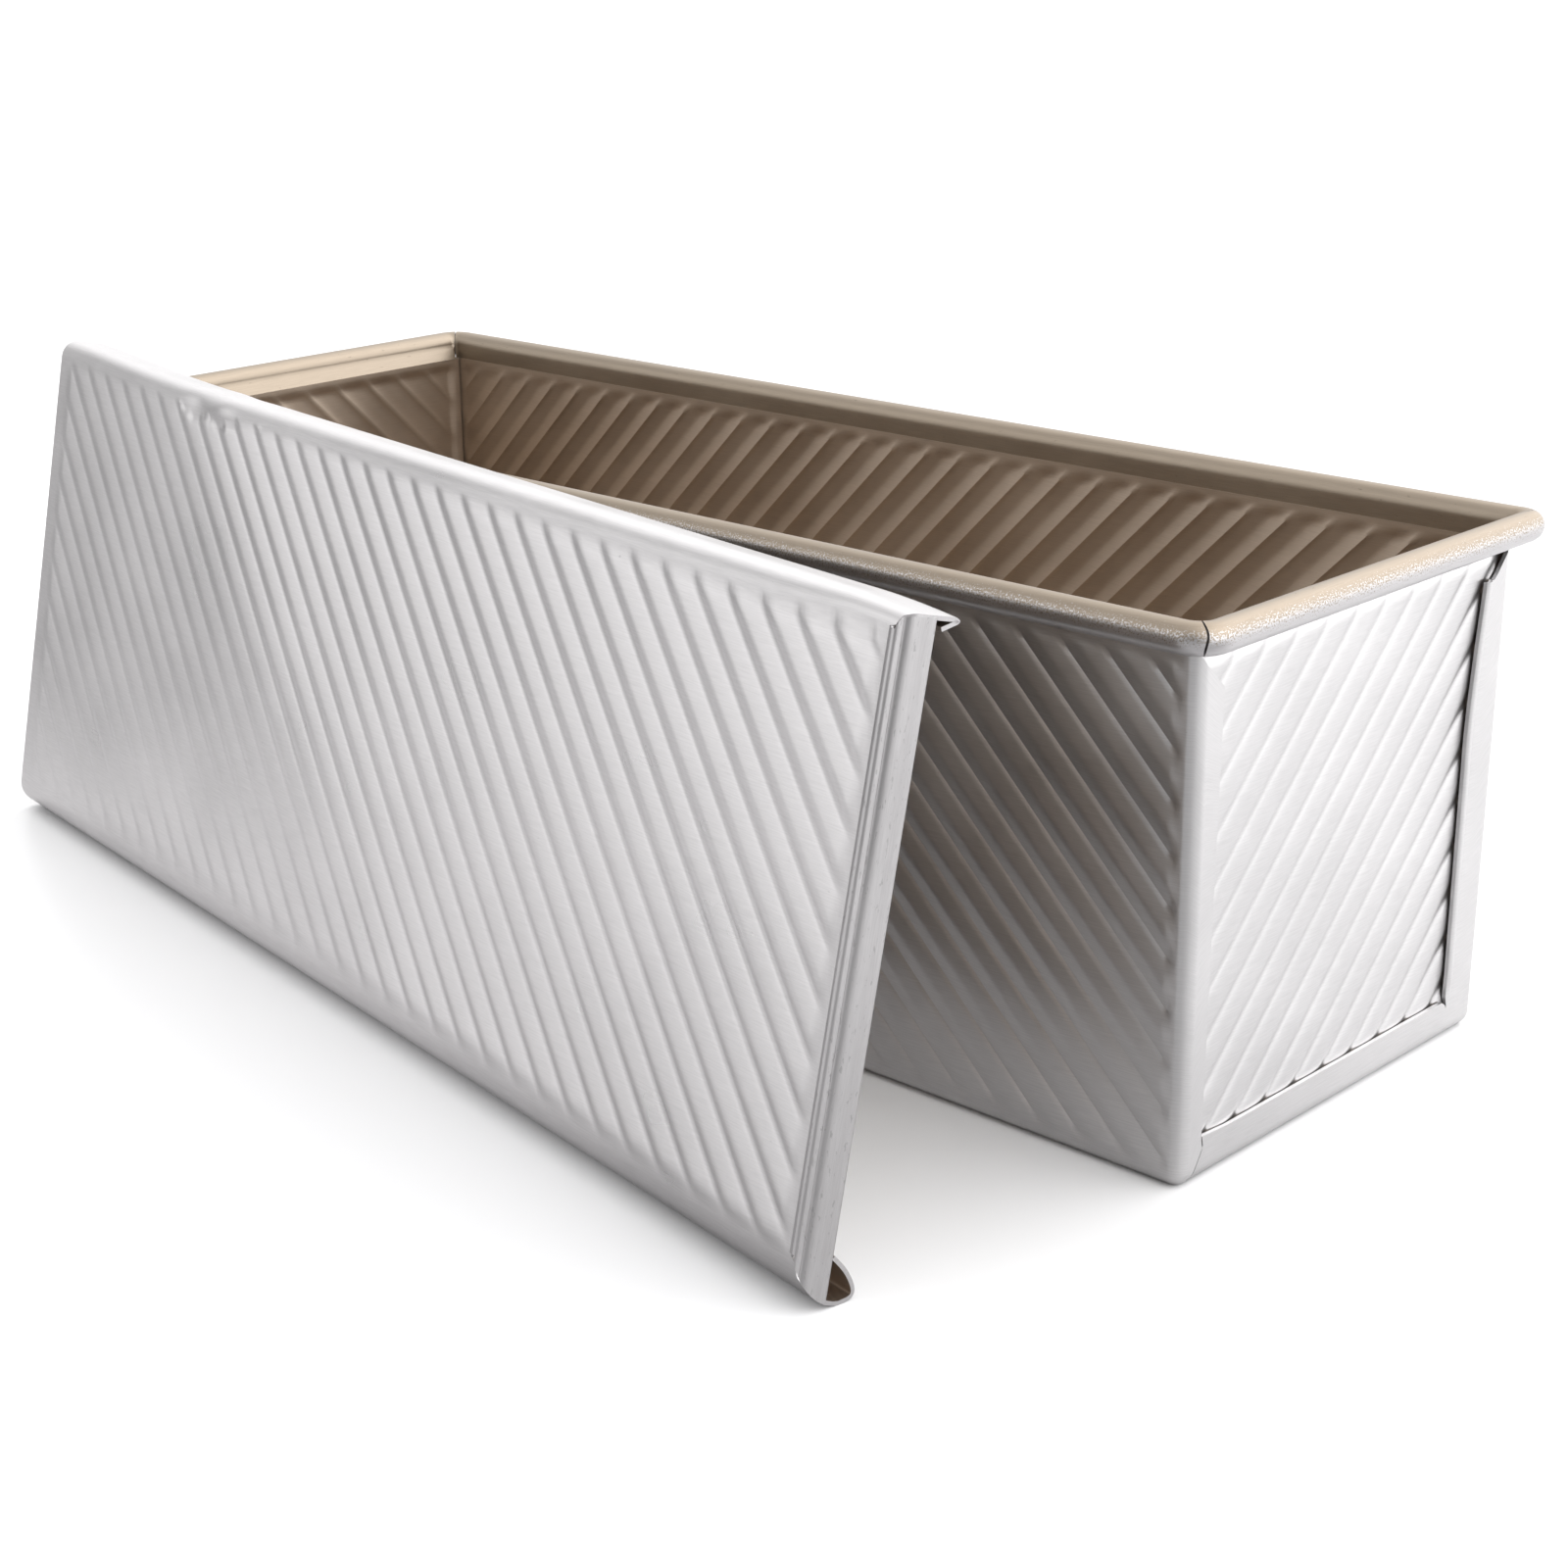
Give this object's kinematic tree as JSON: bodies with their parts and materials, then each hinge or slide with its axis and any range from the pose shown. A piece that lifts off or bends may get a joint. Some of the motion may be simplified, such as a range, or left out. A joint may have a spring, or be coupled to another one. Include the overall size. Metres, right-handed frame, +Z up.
{
  "type": "pullman loaf pan",
  "caption": "Lidded loaf pan of ribbed sheet steel with a wire-stiffened rolled rim and a sliding cover, shown leaning against the pan.",
  "frame": {"origin": "middle of the pan's floor, on its underside", "axes": "+X along the pan towards the end with the cover's folded lip, -Y towards the leaning cover, +Z up out of the pan"},
  "size_m": [0.3566, 0.1925, 0.1204],
  "materials": {
    "pan_steel": "aluminised steel sheet, satin outside, with a champagne non-stick coating inside and over the rim",
    "wire_steel": "plain drawn steel wire, hidden inside the rim",
    "cover_steel": "aluminised steel sheet, satin, lightly scuffed"
  },
  "bodies": {
    "pan": {"body_sheet": "pan_steel", "left_end_plate": "pan_steel", "right_end_plate": "pan_steel", "rim_wire": "wire_steel"},
    "lid": {"cover": "cover_steel"}
  },
  "joints": [
    {"name": "cover_tip", "type": "hinge", "parent": "pan", "child": "lid", "pos_m": [-0.18955, -0.0728, 0.00438], "axis": [0.9851, -0.1719, 0], "range_deg": [0, 101.5]}
  ]
}
